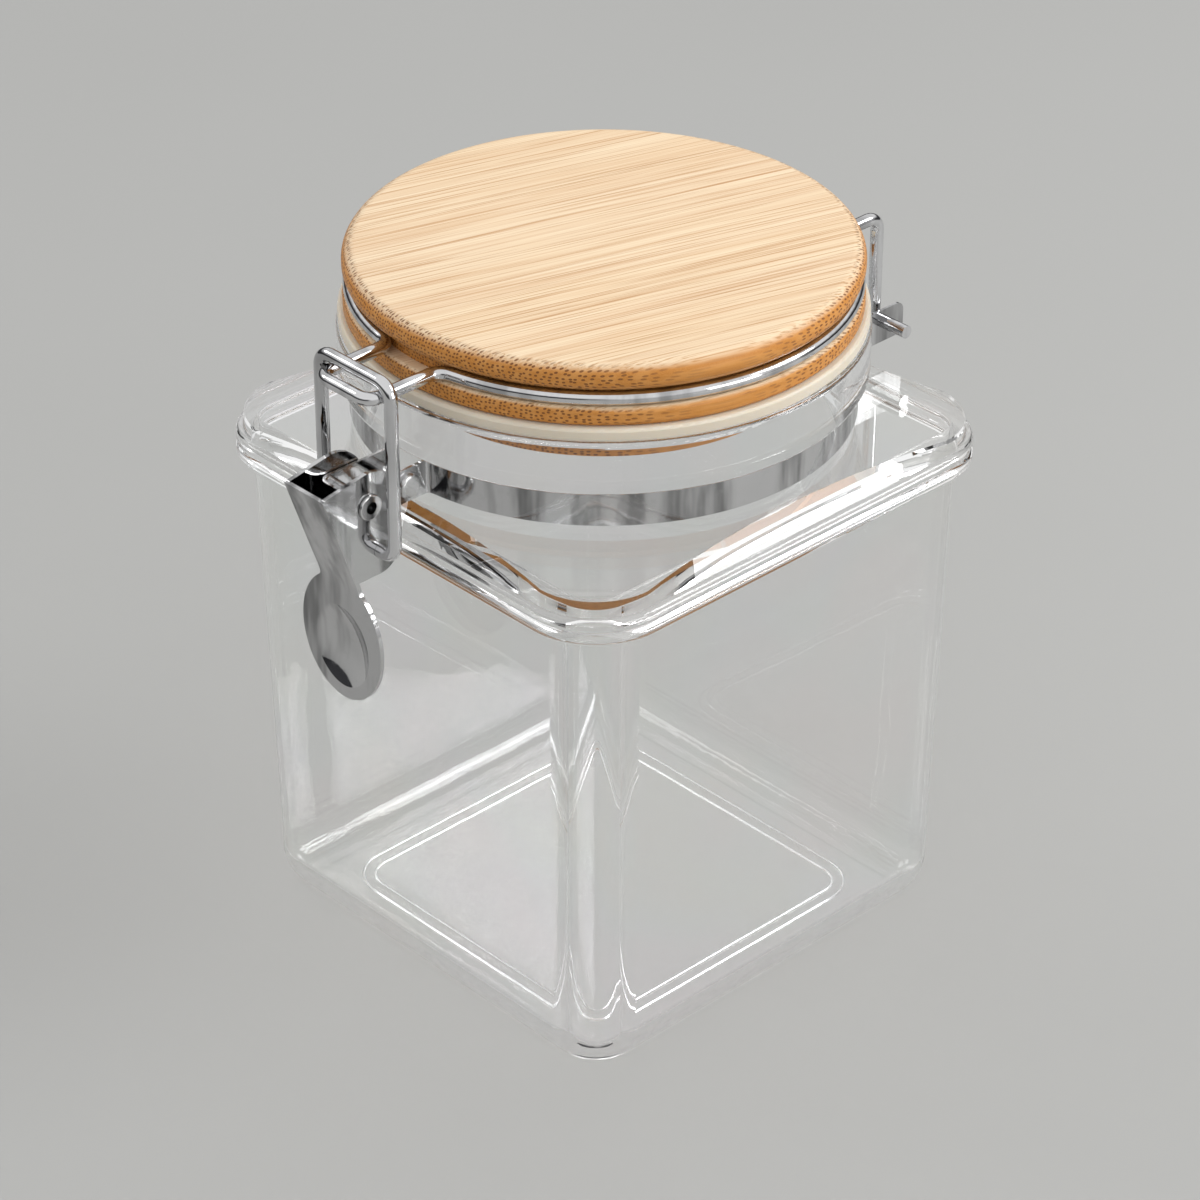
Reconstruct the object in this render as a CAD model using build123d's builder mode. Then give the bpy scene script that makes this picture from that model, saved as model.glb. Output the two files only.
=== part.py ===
from build123d import *
from math import atan2, cos, hypot, pi, radians, sin, sqrt
import os

os.makedirs("parts", exist_ok=True)

# Square clear canister with a round neck, a turned bamboo lid and a wire bail latch.
# Millimetres. +Z is up, the origin is the middle of the base on the table.
# The latch is on the -Y face, the hinge on the +Y face.

# Driving sizes of the clear body
base_half = 52.5
top_half = 54.6
base_corner = 11.5
top_corner = 12.5
base_z = 1.0
base_round = 9.0
wall = 2.6
floor_thickness = 3.4
foot_half = 39.0
foot_width = 3.0
foot_corner = 9.0
foot_sink = 1.0
foot_round = 0.8
cavity_corner = 6.6

# Welded rim where the body and the top shell meet
rim_ledge = 3.6
rim_corner = 16.4
rim_layer = 3.0
rim_round = 1.3
rim_z = 112.0
weld_gap = 0.05

# Shoulder of the top shell
shoulder_rise = 3.4
shoulder_wall = 3.0
shoulder_edge_set = 1.4
shoulder_corner_set = 1.9
shoulder_mid_land = 0.8
shoulder_round = 0.7

# Round neck, strap groove and collar
neck_set_in = 3.4
groove_wall = 2.2
strap_gap_below = 3.8
collar_overhang = 2.8
collar_height = 11.7
collar_round = 1.2

# Flat strap round the neck
strap_thickness = 0.6
strap_height = 7.4
strap_clearance = 0.05
arm_side_gap = 0.2
arm_bend = 1.3
nose_corner = 2.2
nose_past_pivot = 4.0
ear_clearance = 0.3
ear_reach = 5.6
ear_bend = 2.4
ear_corner = 2.0

# Sprung wire of the lid bail and of the latch loop
wire_radius = 1.4
wire_fit = 0.05

# Gasket and bamboo lid, from the neck upwards
gasket_gap = 0.1
gasket_thickness = 2.8
gasket_set_in = 0.4
gasket_round = 0.6
lid_set_in = 1.5
lid_flange = 4.0
lid_flange_round = 1.1
lid_groove_play = 0.15
lid_disc = 5.9
lid_disc_round = 2.7
ring_set_in = 1.5
plug_clearance = 3.0
plug_drop = 8.9
plug_taper_start = 1.75
plug_taper_end = 7.6
plug_taper_set = 4.8

# Hinge of the bail
hinge_set_out = 0.0
hinge_drop = 3.0
hinge_leg_x = 20.2
hinge_end_bend = 2.2
hinge_top_bend = 3.0
hinge_end_out = 6.3
back_bend = 3.5

# Latch nose of the bail
nose_mid_x = 7.3
nose_before_loop = 3.0
nose_bend = 2.8
front_bend = 3.5

# Latch lever, placed from its pivot
pivot_set_out = 9.7
pivot_drop = 3.7
lever_sheet = 0.9
lever_half = 5.7
web_top_y = -11.7
web_top_z = 5.5
web_foot_y = -3.4
web_foot_z = -18.2
web_bend = 8.0
cheek_top_radius = 7.4
cheek_hole_radius = 5.3
cheek_tip_radius = 0.6
cheek_tip_share = 0.03
cheek_foot_share = 0.9
thumb_half_width = 11.75
thumb_half_height = 14.0
thumb_drop = 30.9
neck_round = 1.5
dimple_half_width = 8.0
dimple_half_height = 9.2
dimple_depth = 2.2
dimple_drop = 33.0

# Latch loop, hung in the lever's cheeks
loop_hole_y = 2.3
loop_hole_z = -10.8
loop_side_gap = 0.2
loop_bend = 3.2
loop_end_inside = 1.2
hook_gap = 0.45

# Rivets
eyelet_radius = 1.7
eyelet_bore = 1.3
eyelet_head = 2.7
eyelet_head_height = 0.6
eyelet_head_gap = 0.15
eyelet_head_round = 0.3
clamp_set_in = 11.0
clamp_radius = 1.6
clamp_head = 2.7
clamp_head_height = 1.1
clamp_head_round = 0.8

# Places, heights and radii that follow from the sizes above
rim_half = top_half + rim_ledge
hinge_y = rim_half + hinge_set_out
pivot_y = -rim_half - pivot_set_out
clamp_y = pivot_y + clamp_set_in
loop_mid_x = nose_mid_x + 2 * wire_radius + loop_side_gap
arm_mid_x = lever_half - lever_sheet - arm_side_gap - strap_thickness / 2
weld_z = rim_z + weld_gap
rim_top_z = weld_z + rim_layer
shoulder_z = rim_top_z + shoulder_rise
neck_radius = top_half - neck_set_in
bore_radius = neck_radius - groove_wall
plug_radius = bore_radius - plug_clearance
plug_tip_radius = plug_radius - plug_taper_set
strap_z = shoulder_z + strap_gap_below
strap_top_z = strap_z + strap_height
collar_z = strap_top_z + ear_clearance
collar_radius = neck_radius + collar_overhang
lid_radius = collar_radius - lid_set_in
neck_top_z = collar_z + collar_height
gasket_z = neck_top_z + gasket_gap
lid_z = gasket_z + gasket_thickness
groove_z = lid_z + lid_flange
groove_height = 2 * (wire_radius + lid_groove_play)
ring_z = groove_z + groove_height / 2
disc_z = groove_z + groove_height
lid_top_z = disc_z + lid_disc
ring_radius = lid_radius - ring_set_in
plug_z = neck_top_z - plug_drop
strap_mid_radius = neck_radius + strap_clearance + strap_thickness / 2
hinge_z = strap_top_z - hinge_drop
ear_mid_x = hinge_leg_x + hinge_end_bend + ear_clearance + strap_thickness / 2
pivot_z = strap_top_z - pivot_drop
loop_y = pivot_y + loop_hole_y
loop_hole_height = pivot_z + loop_hole_z
loop_bar_z = ring_z + 2 * wire_radius + hook_gap
nose_reach = nose_before_loop - loop_y
arm_outer_x = arm_mid_x + strap_thickness / 2
arm_nose_y = pivot_y - nose_past_pivot


def branch(ring, branch_x, bend):
    """Where a ring turns outward into a straight branch at x = branch_x.

    Returns the point on the ring, the middle of the bend and the point on the
    branch, all for a branch that runs towards +Y on the +X side.
    """
    centre_x = branch_x + bend
    centre_y = sqrt((ring + bend) ** 2 - centre_x**2)
    share = ring / (ring + bend)
    on_ring = (centre_x * share, centre_y * share)
    on_branch = (branch_x, centre_y)
    turn = (atan2(-centre_y, -centre_x) % (2 * pi) + pi) / 2
    middle = (centre_x + bend * cos(turn), centre_y + bend * sin(turn))
    return on_ring, middle, on_branch


def flip(point, side_x, side_y):
    """Mirror a plan point into the quadrant given by two signs."""
    return (side_x * point[0], side_y * point[1])


def lift(point, height):
    """A plan point raised to a height."""
    return (point[0], point[1], height)


# Body shell: a drafted rounded-square jar with a rounded rim layer and a foot ring
cavity_floor_z = base_z + floor_thickness
cavity_round = base_round - wall

with BuildPart() as body_cavity:
    with BuildSketch(Plane.XY.offset(cavity_floor_z)):
        RectangleRounded(2 * (base_half - wall), 2 * (base_half - wall), cavity_corner)
    with BuildSketch(Plane.XY.offset(rim_z)):
        RectangleRounded(2 * (top_half - wall), 2 * (top_half - wall), cavity_corner)
    loft(ruled=True)
    fillet(body_cavity.edges().group_by(Axis.Z)[0], radius=cavity_round)

with BuildPart() as body_shell:
    with BuildSketch(Plane.XY.offset(base_z)):
        RectangleRounded(2 * base_half, 2 * base_half, base_corner)
    with BuildSketch(Plane.XY.offset(rim_z)):
        RectangleRounded(2 * top_half, 2 * top_half, top_corner)
    loft(ruled=True)
    fillet(body_shell.edges().group_by(Axis.Z)[0], radius=base_round)
    with BuildSketch(Plane.XY.offset(rim_z - rim_layer)):
        RectangleRounded(2 * rim_half, 2 * rim_half, rim_corner)
    extrude(amount=rim_layer)
    fillet(body_shell.faces().sort_by(Axis.Z)[-1].outer_wire().edges(), radius=rim_round)
    under_rim = body_shell.faces().filter_by(Plane.XY).group_by(Axis.Z)[-2].sort_by(SortBy.AREA)[-1]
    fillet(under_rim.outer_wire().edges(), radius=rim_round)
    with BuildSketch():
        RectangleRounded(2 * foot_half, 2 * foot_half, foot_corner)
        RectangleRounded(
            2 * (foot_half - foot_width),
            2 * (foot_half - foot_width),
            foot_corner - foot_width,
            mode=Mode.SUBTRACT,
        )
    extrude(amount=base_z + foot_sink)
    fillet(body_shell.edges().group_by(Axis.Z)[0], radius=foot_round)
    add(body_cavity.part, mode=Mode.SUBTRACT)

# Top shell: rim layer, shoulder with a pinched outline, neck, groove and collar
edge_half = rim_half - shoulder_edge_set
edge_corner = rim_corner - shoulder_edge_set
corner_centre = rim_half - rim_corner
pinch_radius = rim_corner - shoulder_corner_set
pinch_side = corner_centre + pinch_radius
pinch_mid = neck_radius + shoulder_mid_land

with BuildPart() as shoulder_shell:
    with BuildSketch(Plane.XY.offset(weld_z)):
        RectangleRounded(2 * rim_half, 2 * rim_half, rim_corner)
    extrude(amount=rim_layer)
    fillet(shoulder_shell.edges().group_by(Axis.Z)[0], radius=rim_round)
    fillet(shoulder_shell.edges().group_by(Axis.Z)[-1], radius=rim_round)
    with BuildSketch(Plane.XY.offset(rim_top_z)):
        RectangleRounded(2 * edge_half, 2 * edge_half, edge_corner)
    with BuildSketch(Plane.XY.offset(shoulder_z)):
        with BuildLine():
            for turn in range(4):
                start = Vector(pinch_side, -corner_centre).rotate(Axis.Z, 90 * turn)
                middle = Vector(pinch_mid, 0).rotate(Axis.Z, 90 * turn)
                end = Vector(pinch_side, corner_centre).rotate(Axis.Z, 90 * turn)
                ThreePointArc(start, middle, end)
                centre = Vector(corner_centre, corner_centre).rotate(Axis.Z, 90 * turn)
                bulge = centre + Vector(pinch_radius, 0).rotate(Axis.Z, 90 * turn + 45)
                after = Vector(corner_centre, pinch_side).rotate(Axis.Z, 90 * turn)
                ThreePointArc(end, bulge, after)
        make_face()
    loft(ruled=True)
    with BuildSketch(Plane.XY.offset(shoulder_z)):
        Circle(neck_radius)
    extrude(amount=collar_z - shoulder_z)
    with BuildSketch(Plane.XY.offset(collar_z)):
        Circle(collar_radius)
    extrude(amount=collar_height)
    collar_edges = shoulder_shell.edges().filter_by(GeomType.CIRCLE)
    fillet(collar_edges.filter_by(lambda e: abs(e.radius - collar_radius) < 0.01), radius=collar_round)
    with BuildSketch(Plane.XY.offset(weld_z)):
        RectangleRounded(2 * (top_half - wall), 2 * (top_half - wall), cavity_corner)
    extrude(amount=shoulder_z - shoulder_wall - weld_z, mode=Mode.SUBTRACT)
    with BuildSketch(Plane.XY.offset(weld_z)):
        Circle(bore_radius)
    extrude(amount=neck_top_z - weld_z, mode=Mode.SUBTRACT)
    rim_circle = shoulder_shell.edges().filter_by(GeomType.CIRCLE).group_by(Axis.Z)[-1]
    fillet(rim_circle.sort_by(SortBy.RADIUS)[0], radius=collar_round)

# Neck strap: one flat strip, ends turned out as hinge ears, front folded to a nose
ear_ring, ear_middle, ear_branch = branch(strap_mid_radius, ear_mid_x, ear_bend)
arm_ring, arm_middle, arm_branch = branch(strap_mid_radius, arm_mid_x, arm_bend)
ear_end_y = hinge_y + ear_reach
nose_line_y = arm_nose_y + nose_corner
nose_mid_turn = nose_corner * (1 - sin(radians(45)))

with BuildPart() as neck_strap:
    with BuildSketch(Plane.XY.offset(strap_z)):
        with BuildLine():
            for side in (1, -1):
                Line(flip((ear_mid_x, ear_end_y), side, 1), flip(ear_branch, side, 1))
                ThreePointArc(flip(ear_branch, side, 1), flip(ear_middle, side, 1), flip(ear_ring, side, 1))
                ThreePointArc(
                    flip(ear_ring, side, 1), (side * strap_mid_radius, 0), flip(arm_ring, side, -1)
                )
                ThreePointArc(
                    flip(arm_ring, side, -1), flip(arm_middle, side, -1), flip(arm_branch, side, -1)
                )
                Line(flip(arm_branch, side, -1), (side * arm_mid_x, nose_line_y))
                ThreePointArc(
                    (side * arm_mid_x, nose_line_y),
                    (side * (arm_mid_x - nose_mid_turn), arm_nose_y + nose_mid_turn),
                    (side * (arm_mid_x - nose_corner), arm_nose_y),
                )
            Line((arm_mid_x - nose_corner, arm_nose_y), (nose_corner - arm_mid_x, arm_nose_y))
        trace(line_width=strap_thickness)
    extrude(amount=strap_height)
    fillet(neck_strap.edges().filter_by(Axis.X).group_by(Axis.Y)[-1], radius=ear_corner)
    with Locations(Plane.YZ * Pos(hinge_y, hinge_z)):
        Cylinder(wire_radius + wire_fit, 2 * rim_half, mode=Mode.SUBTRACT)
    with Locations(Plane.YZ * Pos(pivot_y, pivot_z)):
        Cylinder(eyelet_radius + wire_fit, 4 * arm_mid_x, mode=Mode.SUBTRACT)
    with Locations(Plane.YZ * Pos(clamp_y, pivot_z)):
        Cylinder(clamp_radius + wire_fit, 4 * arm_mid_x, mode=Mode.SUBTRACT)

# Bamboo lid: plug, flange, wire groove and rounded top disc, turned in one piece
groove_radius = ring_radius - wire_radius - lid_groove_play

with BuildPart() as lid:
    with BuildSketch(Plane.XZ):
        with BuildLine():
            Polyline(
                (0, plug_z),
                (plug_tip_radius, plug_z),
                (plug_tip_radius, neck_top_z - plug_taper_end),
                (plug_radius, neck_top_z - plug_taper_start),
                (plug_radius, lid_z),
                (lid_radius, lid_z),
                (lid_radius, groove_z),
                (groove_radius, groove_z),
                (groove_radius, disc_z),
                (lid_radius, disc_z),
                (lid_radius, lid_top_z),
                (0, lid_top_z),
                close=True,
            )
        make_face()
    revolve(axis=Axis.Z)
    disc_edges = lid.edges().filter_by(GeomType.CIRCLE)
    disc_edges = disc_edges.filter_by(lambda e: abs(e.radius - lid_radius) < 0.01).sort_by(Axis.Z)
    fillet(disc_edges[0:2], radius=lid_flange_round)
    fillet(disc_edges[2:4], radius=lid_disc_round)

# Gasket: milky silicone ring under the lid flange, round the plug
with BuildPart() as gasket:
    with BuildSketch(Plane.XY.offset(gasket_z)):
        Circle(collar_radius - gasket_set_in)
        Circle(plug_radius + wire_fit, mode=Mode.SUBTRACT)
    extrude(amount=gasket_thickness)
    gasket_edges = gasket.edges().filter_by(GeomType.CIRCLE)
    fillet(
        gasket_edges.filter_by(lambda e: e.radius > bore_radius),
        radius=gasket_round,
    )

# Lid bail: one wire, hooked through the ears, round the lid groove, with the latch nose
back_ring, back_middle, back_branch = branch(ring_radius, hinge_leg_x, back_bend)
front_ring, front_middle, front_branch = branch(ring_radius, nose_mid_x, front_bend)
end_x = ear_mid_x + strap_thickness / 2 + hinge_end_out
quarter = 1 - sin(radians(45))

with BuildPart() as lid_bail:
    with BuildLine() as bail_path:
        for side in (1, -1):
            leg_x = side * hinge_leg_x
            elbow_x = side * (hinge_leg_x + hinge_end_bend)
            Line((side * end_x, hinge_y, hinge_z), (elbow_x, hinge_y, hinge_z))
            ThreePointArc(
                (elbow_x, hinge_y, hinge_z),
                (leg_x + side * hinge_end_bend * quarter, hinge_y, hinge_z + hinge_end_bend * quarter),
                (leg_x, hinge_y, hinge_z + hinge_end_bend),
            )
            Line((leg_x, hinge_y, hinge_z + hinge_end_bend), (leg_x, hinge_y, ring_z - hinge_top_bend))
            ThreePointArc(
                (leg_x, hinge_y, ring_z - hinge_top_bend),
                (leg_x, hinge_y - hinge_top_bend * quarter, ring_z - hinge_top_bend * quarter),
                (leg_x, hinge_y - hinge_top_bend, ring_z),
            )
            Line((leg_x, hinge_y - hinge_top_bend, ring_z), lift(flip(back_branch, side, 1), ring_z))
            ThreePointArc(
                lift(flip(back_branch, side, 1), ring_z),
                lift(flip(back_middle, side, 1), ring_z),
                lift(flip(back_ring, side, 1), ring_z),
            )
            ThreePointArc(
                lift(flip(back_ring, side, 1), ring_z),
                (side * ring_radius, 0, ring_z),
                lift(flip(front_ring, side, -1), ring_z),
            )
            ThreePointArc(
                lift(flip(front_ring, side, -1), ring_z),
                lift(flip(front_middle, side, -1), ring_z),
                lift(flip(front_branch, side, -1), ring_z),
            )
            Line(
                lift(flip(front_branch, side, -1), ring_z),
                (side * nose_mid_x, nose_bend - nose_reach, ring_z),
            )
            ThreePointArc(
                (side * nose_mid_x, nose_bend - nose_reach, ring_z),
                (side * (nose_mid_x - nose_bend * quarter), nose_bend * quarter - nose_reach, ring_z),
                (side * (nose_mid_x - nose_bend), -nose_reach, ring_z),
            )
        Line((nose_mid_x - nose_bend, -nose_reach, ring_z), (nose_bend - nose_mid_x, -nose_reach, ring_z))
    with BuildSketch(Plane(origin=(end_x, hinge_y, hinge_z), z_dir=(-1, 0, 0))):
        Circle(wire_radius)
    sweep(path=bail_path.wires()[0])

# Oval thumb dimple: the hollow pressed in the plate and the boss it leaves behind it
web_top = (pivot_y + web_top_y, pivot_z + web_top_z)
web_foot = (pivot_y + web_foot_y, pivot_z + web_foot_z)
thumb_z = pivot_z - thumb_drop
thumb_end = (web_foot[0], thumb_z - thumb_half_width * 2)
thumb_face_y = web_foot[0]
dimple_z = pivot_z - dimple_drop
dimple_arch = (dimple_half_height**2 + dimple_depth**2) / (2 * dimple_depth)
dimple_waist = (dimple_half_width**2 + dimple_depth**2) / (2 * dimple_depth)
dimple_axis_y = thumb_face_y + dimple_depth - dimple_waist
dimple_tip = sqrt(dimple_arch**2 - (dimple_arch - dimple_waist) ** 2)
boss_arch = dimple_arch + lever_sheet
boss_waist = dimple_waist + lever_sheet
boss_tip = sqrt(boss_arch**2 - (boss_arch - boss_waist) ** 2)
dimple_axis = Axis((0, dimple_axis_y, 0), (0, 0, 1))

with BuildPart() as dimple_hollow:
    with BuildSketch(Plane.YZ):
        with BuildLine():
            ThreePointArc(
                (dimple_axis_y, dimple_z - dimple_tip),
                (dimple_axis_y + dimple_waist, dimple_z),
                (dimple_axis_y, dimple_z + dimple_tip),
            )
            Line((dimple_axis_y, dimple_z - dimple_tip), (dimple_axis_y, dimple_z + dimple_tip))
        make_face()
    revolve(axis=dimple_axis)

with BuildPart() as dimple_boss:
    with BuildSketch(Plane.YZ):
        with BuildLine():
            ThreePointArc(
                (dimple_axis_y, dimple_z - boss_tip),
                (dimple_axis_y + boss_waist, dimple_z),
                (dimple_axis_y, dimple_z + boss_tip),
            )
            Line((dimple_axis_y, dimple_z - boss_tip), (dimple_axis_y, dimple_z + boss_tip))
        make_face()
    revolve(axis=dimple_axis)
    split(bisect_by=Plane.XZ.offset(-thumb_face_y), keep=Keep.BOTTOM)

# Latch lever: stamped channel with two cheeks and an oval thumb plate
web_run_y = web_foot_y - web_top_y
web_run_z = web_foot_z - web_top_z
web_length = hypot(web_run_y, web_run_z)
inward_y = -web_run_z / web_length
inward_z = web_run_y / web_length
cheek_tip_depth = cheek_tip_radius + lever_sheet / 3
tip_in = (
    web_top[0] + web_run_y * cheek_tip_share + inward_y * cheek_tip_depth,
    web_top[1] + web_run_z * cheek_tip_share + inward_z * cheek_tip_depth,
)
foot_in = (
    web_top[0] + web_run_y * cheek_foot_share + inward_y * cheek_tip_depth,
    web_top[1] + web_run_z * cheek_foot_share + inward_z * cheek_tip_depth,
)

with BuildPart() as latch_lever:
    with BuildSketch(Plane.YZ):
        with BuildLine():
            FilletPolyline(web_top, web_foot, thumb_end, radius=web_bend)
            offset(amount=lever_sheet, side=Side.LEFT)
        make_face()
    extrude(amount=2 * thumb_half_width, both=True)
    with BuildSketch(Plane.XZ) as lever_front:
        with Locations((0, thumb_z)):
            Ellipse(thumb_half_width, thumb_half_height)
        with Locations((0, web_foot[1])):
            Rectangle(2 * lever_half, -2 * web_run_z)
        fillet(lever_front.vertices().group_by(Axis.Y)[-2], radius=neck_round)
    extrude(amount=2 * rim_half, both=True, mode=Mode.INTERSECT)
    with BuildSketch(Plane.YZ.offset(lever_half - lever_sheet)):
        with Locations((pivot_y, pivot_z)):
            Circle(cheek_top_radius)
        with Locations((loop_y, loop_hole_height)):
            Circle(cheek_hole_radius)
        with Locations(tip_in, foot_in):
            Circle(cheek_tip_radius)
        make_hull()
    extrude(amount=lever_sheet)
    mirror(about=Plane.YZ)
    add(dimple_boss.part)
    add(dimple_hollow.part, mode=Mode.SUBTRACT)
    with Locations(Plane.YZ * Pos(pivot_y, pivot_z)):
        Cylinder(eyelet_radius + wire_fit, 4 * lever_half, mode=Mode.SUBTRACT)
    with Locations(Plane.YZ * Pos(loop_y, loop_hole_height)):
        Cylinder(wire_radius + wire_fit, 4 * lever_half, mode=Mode.SUBTRACT)

# Latch loop: bent wire hung in the cheeks, its bar hooks over the bail's nose
loop_end_x = lever_half - lever_sheet - loop_end_inside

with BuildPart() as latch_loop:
    with BuildLine() as loop_path:
        FilletPolyline(
            (-loop_end_x, loop_y, loop_hole_height),
            (-loop_mid_x, loop_y, loop_hole_height),
            (-loop_mid_x, loop_y, loop_bar_z),
            (loop_mid_x, loop_y, loop_bar_z),
            (loop_mid_x, loop_y, loop_hole_height),
            (loop_end_x, loop_y, loop_hole_height),
            radius=loop_bend,
        )
    with BuildSketch(Plane(origin=(-loop_end_x, loop_y, loop_hole_height), z_dir=(-1, 0, 0))):
        Circle(wire_radius)
    sweep(path=loop_path.wires()[0])

# Pivot eyelet: hollow rivet through strap nose and lever cheeks
eyelet_half = lever_half + eyelet_head_gap

with BuildPart() as pivot_eyelet:
    with Locations(Plane.YZ * Pos(pivot_y, pivot_z)):
        Cylinder(eyelet_radius, 2 * (eyelet_half + eyelet_head_height))
    with Locations(
        Plane.YZ * Pos(pivot_y, pivot_z, eyelet_half + eyelet_head_height / 2),
        Plane.YZ * Pos(pivot_y, pivot_z, -eyelet_half - eyelet_head_height / 2),
    ):
        Cylinder(eyelet_head, eyelet_head_height)
    head_edges = pivot_eyelet.edges().filter_by(GeomType.CIRCLE).sort_by(Axis.X)
    fillet([head_edges[0], head_edges[-1]], radius=eyelet_head_round)
    with Locations(Plane.YZ * Pos(pivot_y, pivot_z)):
        Cylinder(eyelet_bore, 4 * eyelet_half, mode=Mode.SUBTRACT)

# Clamp rivet: solid rivet that pulls the two strap arms together
with BuildPart() as strap_rivet:
    with Locations(Plane.YZ * Pos(clamp_y, pivot_z)):
        Cylinder(clamp_radius, 2 * arm_outer_x)
    with Locations(
        Plane.YZ * Pos(clamp_y, pivot_z, arm_outer_x + clamp_head_height / 2),
        Plane.YZ * Pos(clamp_y, pivot_z, -arm_outer_x - clamp_head_height / 2),
    ):
        Cylinder(clamp_head, clamp_head_height)
    rivet_edges = strap_rivet.edges().filter_by(GeomType.CIRCLE).sort_by(Axis.X)
    fillet([rivet_edges[0], rivet_edges[-1]], radius=clamp_head_round)

# Hand over each piece under its own name
body_shell.part.label = "body"
export_step(body_shell.part, "parts/body.step")
shoulder_shell.part.label = "shoulder"
export_step(shoulder_shell.part, "parts/shoulder.step")
neck_strap.part.label = "neck_strap"
export_step(neck_strap.part, "parts/neck_strap.step")
strap_rivet.part.label = "strap_rivet"
export_step(strap_rivet.part, "parts/strap_rivet.step")
pivot_eyelet.part.label = "pivot_eyelet"
export_step(pivot_eyelet.part, "parts/pivot_eyelet.step")
latch_lever.part.label = "latch_lever"
export_step(latch_lever.part, "parts/latch_lever.step")
latch_loop.part.label = "latch_loop"
export_step(latch_loop.part, "parts/latch_loop.step")
lid_bail.part.label = "lid_bail"
export_step(lid_bail.part, "parts/lid_bail.step")
lid.part.label = "lid"
export_step(lid.part, "parts/lid.step")
gasket.part.label = "gasket"
export_step(gasket.part, "parts/gasket.step")
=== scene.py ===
# %% [markdown]
# # A clear square canister with a bamboo lid
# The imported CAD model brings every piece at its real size. This script never moves them.
# It gives each surface its finish, then adds a floor, soft light and a camera.
# Lengths are in metres, +Z is up, and the latch is on the -Y side.

import math

import bpy
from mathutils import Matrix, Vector


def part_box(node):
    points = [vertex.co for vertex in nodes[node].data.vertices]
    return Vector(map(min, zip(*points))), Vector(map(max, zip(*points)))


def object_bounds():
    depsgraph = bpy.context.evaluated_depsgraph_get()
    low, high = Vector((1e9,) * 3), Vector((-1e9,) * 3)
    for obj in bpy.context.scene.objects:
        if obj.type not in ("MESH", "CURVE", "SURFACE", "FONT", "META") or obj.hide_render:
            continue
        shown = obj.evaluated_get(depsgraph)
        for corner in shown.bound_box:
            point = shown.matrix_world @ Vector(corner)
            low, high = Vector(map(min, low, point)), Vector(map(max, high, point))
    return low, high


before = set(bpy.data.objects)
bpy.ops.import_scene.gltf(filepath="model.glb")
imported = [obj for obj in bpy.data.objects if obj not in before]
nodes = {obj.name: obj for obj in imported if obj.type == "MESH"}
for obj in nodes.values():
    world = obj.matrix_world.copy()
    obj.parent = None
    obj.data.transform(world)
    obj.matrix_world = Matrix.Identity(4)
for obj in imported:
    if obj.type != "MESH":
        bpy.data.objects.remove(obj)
cad_low, cad_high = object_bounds()
print("nodes:", sorted(nodes))
print("CAD box:", [round(v, 4) for v in cad_low], [round(v, 4) for v in cad_high])

# %% [markdown]
# ## Shader maths as Python
# A finish is a tree of nodes, and long chains of Math nodes are hard to read.
# The first class wraps one output socket, so that 1 - mask or dots * 0.5 adds the Math node itself.
# The second class is the tree. Every other node comes from its one method node,
# which sets the node's options first and its sockets after that.


# %% One wrapped socket
class Wire:
    """An output socket that is added, subtracted, multiplied and divided like a number."""

    def __init__(self, finish, socket):
        self.finish, self.socket = finish, socket

    def out(self, name):
        """Another output of the same node."""
        return Wire(self.finish, self.socket.node.outputs[name])

    def math(self, operation, *values):
        return self.finish.node("ShaderNodeMath", {"operation": operation}, dict(enumerate(values)))

    def __add__(self, other):
        return self.math("ADD", self, other)

    def __sub__(self, other):
        return self.math("SUBTRACT", self, other)

    def __rsub__(self, other):
        return self.math("SUBTRACT", other, self)

    def __mul__(self, other):
        return self.math("MULTIPLY", self, other)

    def __truediv__(self, other):
        return self.math("DIVIDE", self, other)

    def __abs__(self):
        return self.math("ABSOLUTE", self)

    __radd__ = __add__
    __rmul__ = __mul__


print("sockets can be wrapped")

# %% One tree of nodes
mix_factor, mix_first_colour, mix_second_colour = 0, 6, 7
most_mirrors, most_bounces = 2.5, 9.5


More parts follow.
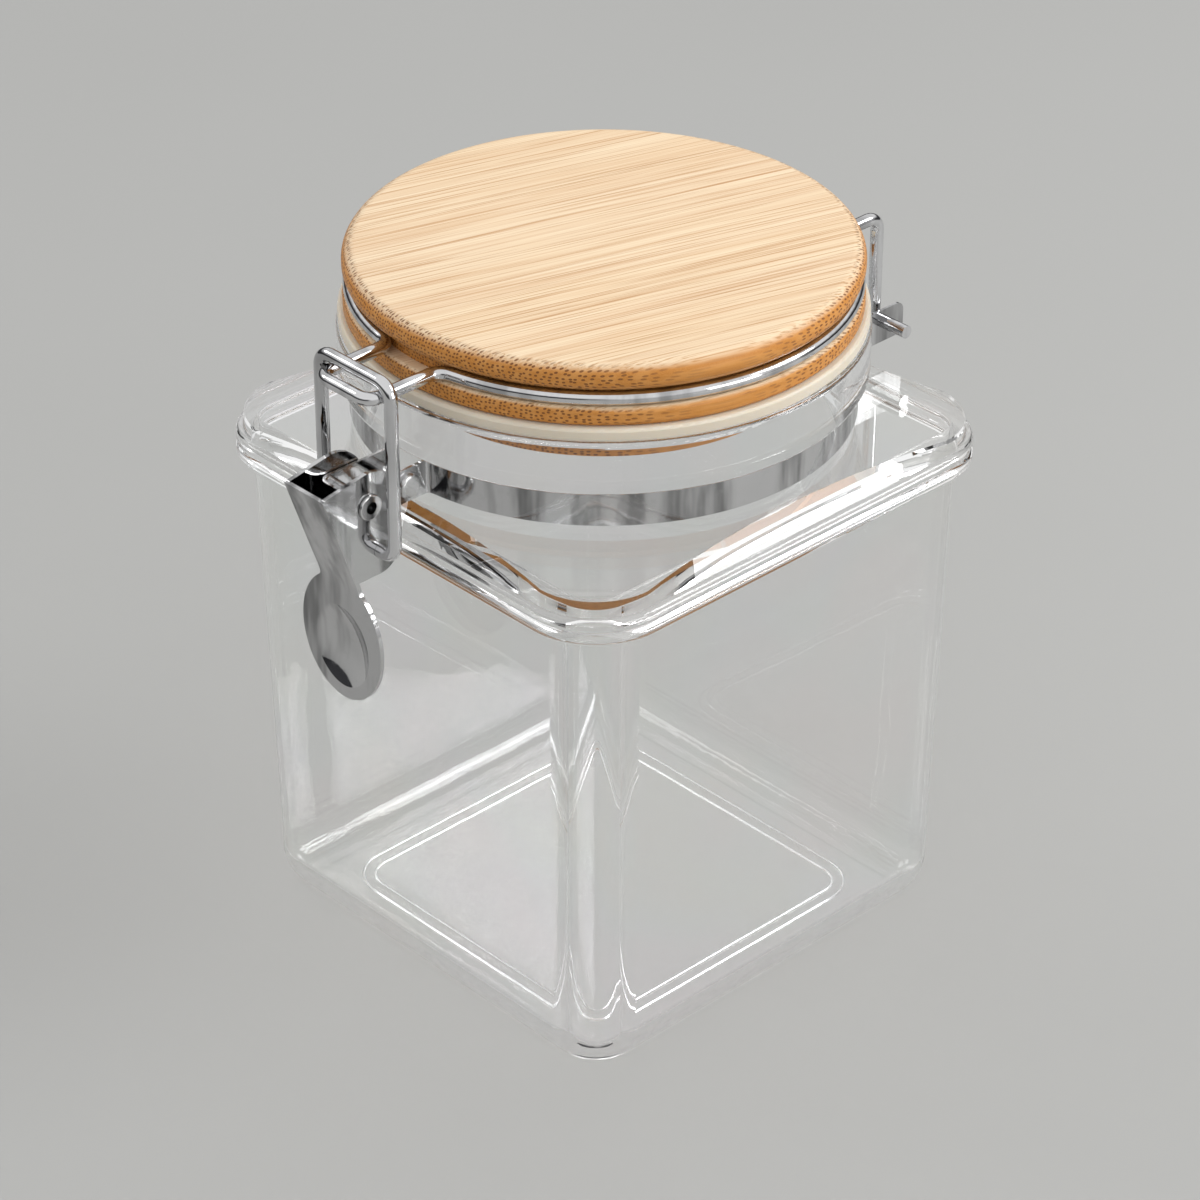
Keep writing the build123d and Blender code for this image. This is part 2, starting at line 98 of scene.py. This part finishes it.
class Finish:
    """One material or world, as a tree of nodes."""

    def __init__(self, owner):
        self.owner = owner
        owner.use_nodes = True
        self.tree = owner.node_tree
        self.tree.nodes.clear()

    def node(self, kind, settings=None, values=None):
        """Adds a node: its options first, then the values or links of its sockets."""
        made = self.tree.nodes.new(kind)
        for name, value in (settings or {}).items():
            if name == "stops":
                self.set_stops(made.color_ramp, value)
            else:
                setattr(made, name, value)
        for name, value in (values or {}).items():
            if isinstance(value, Wire):
                self.tree.links.new(value.socket, made.inputs[name])
            else:
                made.inputs[name].default_value = value
        enabled = [output for output in made.outputs if output.enabled]
        return Wire(self, enabled[0]) if enabled else None

    def set_stops(self, ramp, stops):
        while len(ramp.elements) < len(stops):
            ramp.elements.new(1.0)
        for element, (place, colour) in zip(ramp.elements, stops):
            element.position, element.color = place, (*colour, 1.0)

    def blend(self, factor, first, second):
        """Mixes two colours. Each is a Wire or three numbers."""
        settings = {"data_type": "RGBA", "blend_type": "MIX", "clamp_factor": True}
        first, second = [c if isinstance(c, Wire) else (*c, 1.0) for c in (first, second)]
        values = {mix_factor: factor, mix_first_colour: first, mix_second_colour: second}
        return self.node("ShaderNodeMix", settings, values)

    def step(self, value, low, high):
        """0 below low, 1 above high, smooth between. low may be the larger one."""
        ends = {"Value": value, "From Min": low, "From Max": high}
        return self.node("ShaderNodeMapRange", {"interpolation_type": "SMOOTHSTEP"}, ends)

    def past(self, depth, limit):
        """1 once a ray has been mirrored or bounced more often than the limit."""
        return self.step(depth, limit - 0.1, limit + 0.1)

    def noise(self, place, scale, detail=2.0, rough=0.5):
        values = {"Vector": place, "Scale": scale, "Detail": detail, "Roughness": rough}
        return self.node("ShaderNodeTexNoise", {}, values)

    def stretch(self, place, scale, turn=0.0):
        """The same place, turned about Z and stretched."""
        values = {"Vector": place, "Rotation": (0.0, 0.0, turn), "Scale": scale}
        return self.node("ShaderNodeMapping", {"vector_type": "POINT"}, values)

    def bump(self, height, depth, strength=1.0):
        return self.node("ShaderNodeBump", {}, {"Height": height, "Distance": depth, "Strength": strength})

    def surface(self, values, seen_through=None, joined=0.0):
        """Ends the tree in a Principled surface. seen_through lets lamp light straight past it,
        and joined is 1 where the surface is only the inside of a joint, which no eye sees."""
        shader = self.node("ShaderNodeBsdfPrincipled", {}, values)
        if seen_through:
            path = self.node("ShaderNodeLightPath")
            lamp_ray = path.out("Is Shadow Ray") + path.out("Is Diffuse Ray")
            mirrored_out = self.past(path.out("Glossy Depth"), most_mirrors)
            bounced_out = self.past(path.out("Ray Depth"), most_bounces)
            free = lamp_ray + (mirrored_out + bounced_out) + joined
            passing = free.math("MINIMUM", free, 1.0)
            open_air = self.node("ShaderNodeBsdfTransparent", {}, {"Color": (*seen_through, 1.0)})
            shader = self.node("ShaderNodeMixShader", {}, {0: passing, 1: shader, 2: open_air})
        self.node("ShaderNodeOutputMaterial", {}, {"Surface": shader})
        return self.owner


print("trees can be built")


# %% From a tree to a dressed piece
def material(name):
    return Finish(bpy.data.materials.new(name))


def dress(node_name, finish):
    """Puts one finish on a CAD node."""
    mesh = nodes[node_name].data
    mesh.materials.clear()
    mesh.materials.append(finish)
    print(node_name, "wears", finish.name)


MM = 0.001
print("one millimetre is", MM)

# %% [markdown]
# ## Clear acrylic
# The jar and its top shell are injection-moulded, so they are glass-clear and very smooth.
# True refraction bends the light in the rounded corners, which an alpha value can't do.
# A path tracer loses the light that reaches a floor through glass, so the floor under the jar would
# stay dark. A Mix Shader lets shadow and bounce rays pass straight through, and the eye sees the glass.
# It also frees a ray that has been mirrored about in an edge until it would be given up as black.
# Body and top shell are welded. The model keeps a hair of air between them, which would show as
# a mirror, so light also passes the two flat faces of the weld.
# Moulded plastic also holds stress that tints it in faint pastels, wavy and very weak.


# %% Where the weld lies
weld_height = (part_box("body")[1][2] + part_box("shoulder")[0][2]) / 2
weld_reach = 0.05 * MM
weld_fade = 1.5 * weld_reach
slanted, level = 0.995, 0.999
print("weld at", round(weld_height, 5))

# %% Tints of the stressed plastic
stress_tints = [
    (0.34, (1.0, 0.992, 0.984)),
    (0.44, (0.990, 1.0, 0.992)),
    (0.54, (0.986, 0.994, 1.0)),
    (0.64, (1.0, 0.988, 0.998)),
]
print("tints:", len(stress_tints))


# %% Clear acrylic
def clear_acrylic():
    f = material("clear_acrylic")
    coordinates = f.node("ShaderNodeTexCoord")
    place = coordinates.out("Object")
    height = f.node("ShaderNodeSeparateXYZ", {}, {"Vector": place}).out("Z")
    upright = f.node("ShaderNodeSeparateXYZ", {}, {"Vector": coordinates.out("Normal")}).out("Z")
    near_weld = f.step(abs(height - weld_height), weld_fade, weld_reach)
    welded = near_weld * f.step(abs(upright), slanted, level)
    wave = f.noise(place, scale=45.0, detail=1.0)
    haze = f.noise(place, scale=220.0, detail=4.0, rough=0.65)
    stress = f.noise(place, scale=24.0, detail=1.0)
    return f.surface(
        {
            "Base Color": f.node("ShaderNodeValToRGB", {"stops": stress_tints}, {"Fac": stress}),
            "Roughness": f.step(haze, 0.55, 0.85) * 0.03 + 0.002,
            "Transmission Weight": 1.0,
            "IOR": 1.49,
            "Normal": f.bump(wave, 0.05 * MM),
        },
        seen_through=(1.0, 1.0, 1.0),
        joined=welded,
    )


acrylic = clear_acrylic()
for name in ("body", "shoulder"):
    dress(name, acrylic)

# %% [markdown]
# ## Milky silicone
# The gasket is soft translucent silicone: light enters it and comes out a little further on.
# Subsurface scattering gives that glow, with a satin skin and faint cloudiness on top.


# %% Silicone gasket
def silicone():
    f = material("milky_silicone")
    place = f.node("ShaderNodeTexCoord").out("Object")
    cloud = f.noise(place, scale=60.0, detail=3.0)
    skin = f.noise(place, scale=900.0, detail=2.0)
    return f.surface(
        {
            "Base Color": f.blend(cloud, (0.78, 0.69, 0.56), (0.88, 0.81, 0.68)),
            "Roughness": skin * 0.15 + 0.28,
            "Subsurface Weight": 0.6,
            "Subsurface Radius": (1.0, 0.9, 0.7),
            "Subsurface Scale": 1.5 * MM,
            "Transmission Weight": 0.25,
            "IOR": 1.41,
            "Normal": f.bump(skin, 0.01 * MM),
        }
    )


dress("gasket", silicone())

# %% [markdown]
# ## Bamboo
# Bamboo is a bundle of fibres, glued up from strips. Cut across, each fibre is a dark dot.
# Cut along, it is a fine streak. Both come from the same two numbers: where a point lies across the
# grain and how high, in millimetres. Round cells in that plane are the dots, and the normal says
# how squarely a surface cuts them. Edges and undersides drink more oil, so they turn honey-brown.

# %% Bamboo lid: grain direction and sizes
grain_turn = math.radians(17.0)
grain = Vector((math.sin(grain_turn), math.cos(grain_turn), 0.0))
fibre_pitch = 0.78
strip_width = 6.4
print("grain runs along", tuple(round(v, 3) for v in grain))

# %% Bamboo lid: colours
cream_pale, cream_warm = (0.765, 0.600, 0.415), (0.690, 0.490, 0.312)
strip_tint, cloud_tint = (0.755, 0.575, 0.365), (0.76, 0.55, 0.34)
streak_dark, streak_pale = (0.500, 0.285, 0.140), (0.850, 0.710, 0.510)
honey_light, honey_deep = (0.560, 0.245, 0.058), (0.480, 0.190, 0.038)
honey_band = (0.620, 0.300, 0.090)
fibre_along, fibre_end, fibre_heart = (0.40, 0.18, 0.06), (0.150, 0.052, 0.016), (0.36, 0.17, 0.06)
print("colours from", cream_pale, "to", fibre_end)


# %% Bamboo lid: finish
def bamboo():
    f = material("bamboo")
    coordinates = f.node("ShaderNodeTexCoord")
    normal = coordinates.out("Normal")
    turned = f.stretch(coordinates.out("Object"), (1 / MM, 1 / MM, 1 / MM), turn=grain_turn)
    split = f.node("ShaderNodeSeparateXYZ", {}, {"Vector": turned})
    across, along, height = split.out("X"), split.out("Y"), split.out("Z")

    sway = f.noise(f.stretch(turned, (0.05, 0.012, 0.05)), scale=1.0, detail=2.0)
    section_x = across / fibre_pitch + sway * 3.0
    section_y = height / fibre_pitch + along * 0.01
    section = f.node("ShaderNodeCombineXYZ", {}, {"X": section_x, "Y": section_y, "Z": 0.0})
    cell_values = {"Vector": section, "Scale": 1.0, "Randomness": 0.55}
    cells = f.node("ShaderNodeTexVoronoi", {"voronoi_dimensions": "2D"}, cell_values)
    fibres = f.step(cells.out("Distance"), 0.33, 0.17)
    pith = f.step(cells.out("Distance"), 0.13, 0.05)
    facing = f.node("ShaderNodeVectorMath", {"operation": "DOT_PRODUCT"}, {0: normal, 1: grain})
    end_cut = f.step(abs(facing.out("Value")), 0.06, 0.50)
    up = f.node("ShaderNodeSeparateXYZ", {}, {"Vector": normal}).out("Z")
    side = f.step(up, 0.96, 0.45)

    strip = across.math("FLOOR", across / strip_width)
    tone = f.node("ShaderNodeTexWhiteNoise", {"noise_dimensions": "1D"}, {"W": strip}).out("Value")
    hair = f.noise(f.stretch(turned, (1.0, 0.006, 1.0)), scale=3.4, detail=2.0, rough=0.6)
    band = f.noise(f.stretch(turned, (1.0, 0.010, 1.0)), scale=0.55, detail=4.0, rough=0.6)
    cloud = f.noise(turned, scale=0.035, detail=2.0)
    grit = f.noise(turned, scale=7.0, detail=2.0)

    cream = f.blend(f.step(band, 0.38, 0.62), cream_pale, cream_warm)
    cream = f.blend(tone * 0.35, cream, strip_tint)
    cream = f.blend(f.step(cloud, 0.50, 0.75) * 0.25, cream, cloud_tint)
    cream = f.blend(f.step(hair, 0.53, 0.66) * 0.9, cream, streak_dark)
    cream = f.blend(f.step(hair, 0.47, 0.36) * 0.5, cream, streak_pale)
    honey = f.blend(f.step(grit, 0.3, 0.7), honey_light, honey_deep)
    honey = f.blend(f.step(band, 0.40, 0.65) * 0.6, honey, honey_band)
    ground = f.blend(side, cream, honey)
    ground = f.blend(fibres * side * 0.35, ground, fibre_along)
    colour = f.blend(fibres * end_cut * 0.92, ground, fibre_end)
    colour = f.blend(pith * end_cut * 0.45, colour, fibre_heart)

    relief = hair * 0.25 - fibres * end_cut
    return f.surface(
        {
            "Base Color": colour,
            "Roughness": 0.46 + hair * 0.10 - side * 0.12,
            "Specular IOR Level": 0.20,
            "Normal": f.bump(relief, 0.06 * MM, 0.8),
        }
    )


dress("lid", bamboo())

# %% [markdown]
# ## Bright plating
# Chrome is a mirror: its look is what it reflects, with a little blur.
# Stamped sheet is wavier than the wire. Polishing leaves fine lines on all.
# Dark streaks are painted into the colour as a painted reflection of dark surroundings, strong on the sheet
# and weaker on the wire. Painted streaks and lines are longer upright than across. So the strap and lever
# have one finish, the wires another, and the rivets a duller third without painted streaks.

# %% How dark the painted reflection streaks and the worn spots get
# The painted dark reflection streaks keep this share of the plating colour.
painted_reflection_share, worn_share = 0.30, 0.72
print("painted_dark_streaks keep", painted_reflection_share, "of the colour and worn spots", worn_share)


# %% Plated sheet, wire and rivets
def chrome(name, colour, smooth, wave_scale, wave_depth, painted_reflection_depth=0.0):
    f = material(name)
    place = f.node("ShaderNodeTexCoord").out("Object")
    # Painted reflection: dark upright streaks in the colour stand in for reflections of dark surroundings.
    reflection_streaks = f.noise(f.stretch(place, (1.0, 1.0, 0.16)), scale=150.0, detail=3.0, rough=0.55)
    painted_reflection_colour = tuple(painted_reflection_share * c for c in colour)
    plated = f.blend(f.step(reflection_streaks, 0.42, 0.66) * painted_reflection_depth, colour, painted_reflection_colour)
    wave = f.noise(place, wave_scale, detail=1.5)
    spots = f.noise(place, scale=420.0, detail=4.0, rough=0.6)
    lines = f.noise(f.stretch(place, (1.0, 1.0, 0.05)), scale=2600.0, detail=2.0)
    worn = f.step(spots, 0.55, 0.80)
    return f.surface(
        {
            "Base Color": f.blend(worn * 0.4, plated, tuple(worn_share * c for c in colour)),
            "Metallic": 1.0,
            "Roughness": worn * 0.10 + lines * 0.05 + smooth,
            "Normal": f.bump(wave + lines * 0.02, wave_depth),
        }
    )


# The last value sets the strength of the painted dark reflection streaks: strong on the sheet, weaker on the
# wire.
sheet_chrome = chrome(
    "plated_sheet", (0.60, 0.60, 0.605), smooth=0.04, wave_scale=95.0, wave_depth=0.30 * MM, painted_reflection_depth=0.90
)
wire_chrome = chrome(
    "plated_wire", (0.70, 0.70, 0.71), smooth=0.03, wave_scale=260.0, wave_depth=0.06 * MM, painted_reflection_depth=0.55
)
rivet_chrome = chrome(
    "plated_rivet", (0.60, 0.60, 0.60), smooth=0.12, wave_scale=500.0, wave_depth=0.03 * MM
)
for name in ("neck_strap", "latch_lever"):
    dress(name, sheet_chrome)
for name in ("latch_loop", "lid_bail"):
    dress(name, wire_chrome)
for name in ("strap_rivet", "pivot_eyelet"):
    dress(name, rivet_chrome)

# %% [markdown]
# ## Floor
# A pale sheet, matt enough to show soft contact shadows and nothing else. It fills the picture from
# the photograph's angle. It isn't wider, because the plating would mirror a far floor as a grey veil.


# %% Floor
def floor_finish():
    f = material("pale_floor")
    place = f.node("ShaderNodeTexCoord").out("Object")
    cloud = f.noise(place, scale=3.0, detail=3.0)
    return f.surface(
        {
            "Base Color": f.blend(cloud, (0.355, 0.355, 0.345), (0.390, 0.390, 0.380)),
            "Roughness": cloud * 0.1 + 0.6,
        }
    )


air_gap = 0.05 * MM
floor_side = 2.8
bpy.ops.mesh.primitive_plane_add(size=floor_side, location=(0.0, 0.0, -air_gap))
floor = bpy.context.object
floor.name = "floor"
floor.data.materials.append(floor_finish())
print("floor", tuple(floor.dimensions))

# %% [markdown]
# ## Light
# Clear plastic and chrome show the room, so the room is the light:
# a world that is bright overhead and dimmer at eye level, and three soft panels for the highlights.
# Chrome that mirrors only a pale room looks flat. It needs something dark to mirror, so the world
# has an unlit band at eye level on all sides but +X. Only mirror reflections see it:
# light that is scattered, or bent through the clear walls, meets the plain room.

# %% World: shades and the unlit band
sky_shades = [
    (0.0, (0.62, 0.62, 0.62)),
    (0.10, (0.80, 0.80, 0.80)),
    (0.35, (1.0, 1.0, 1.0)),
    (0.75, (0.95, 0.95, 0.95)),
]
room_strength = 0.94
band_colour, band_share = (0.02, 0.02, 0.024), 0.95
band_top, above_band = 0.12, 0.42
band_foot, below_band = -0.05, -0.30
band_side, beside_band = 0.55, 0.85
print("unlit band from", band_foot, "to", band_top)

# %% World
world = bpy.data.worlds.new("soft_room")
bpy.context.scene.world = world
room = Finish(world)
direction = room.node("ShaderNodeTexCoord").out("Generated")
split_direction = room.node("ShaderNodeSeparateXYZ", {}, {"Vector": direction})
sideways, rise = split_direction.out("X"), split_direction.out("Z")
sky = room.node("ShaderNodeValToRGB", {"stops": sky_shades}, {"Fac": rise})
ray = room.node("ShaderNodeLightPath")
mirrored = ray.out("Is Glossy Ray") * (1 - ray.out("Is Transmission Ray"))
unlit = room.step(rise, above_band, band_top) * room.step(rise, below_band, band_foot) * mirrored
unlit = unlit * room.step(sideways, beside_band, band_side)
sky = room.blend(unlit * band_share, sky, band_colour)
backdrop = room.node("ShaderNodeBackground", {}, {"Color": sky, "Strength": room_strength})
room.node("ShaderNodeOutputWorld", {}, {"Surface": backdrop})
print("world ready")

# %% Soft panels
middle = (cad_low + cad_high) / 2


def panel(name, offset, size, power):
    """A square area light beside the middle of the canister, which it faces."""
    light = bpy.data.lights.new(name, "AREA")
    light.shape, light.size, light.energy = "SQUARE", size, power
    lamp = bpy.data.objects.new(name, light)
    bpy.context.collection.objects.link(lamp)
    place = middle + offset
    lamp.location = place
    lamp.rotation_euler = (middle - place).to_track_quat("-Z", "Y").to_euler()


panel("key_panel", Vector((0.53, 0.58, 0.62)) * 1.15, size=0.42, power=6.0)
panel("side_panel", Vector((0.95, 0.20, 0.28)) * 1.1, size=0.45, power=2.6)
panel("fill_panel", Vector((-0.75, -0.35, 0.62)) * 1.6, size=0.5, power=3.5)
print("panels ready")

# %% [markdown]
# ## Camera
# A long lens from above the near corner, as in the photograph, so the sides stay almost parallel.

# %% Camera
azimuth, elevation = math.radians(46.58), math.radians(32.0)
distance = 0.905
aim = Vector((0.0038, -0.0047, 0.0767))
lens, sensor = 130.5, 36.0
nearest, farthest = 0.05, 20.0
flat = math.cos(elevation)
away = Vector((math.sin(azimuth) * flat, -math.cos(azimuth) * flat, math.sin(elevation)))
camera = bpy.data.objects.new("camera", bpy.data.cameras.new("camera"))
bpy.context.collection.objects.link(camera)
camera.data.lens, camera.data.sensor_width = lens, sensor
camera.data.clip_start, camera.data.clip_end = nearest, farthest
camera.location = aim + away * distance
camera.rotation_euler = (-away).to_track_quat("-Z", "Y").to_euler()
bpy.context.scene.camera = camera
bpy.context.scene.view_settings.view_transform = "Standard"
print("camera at", tuple(round(v, 4) for v in camera.location))
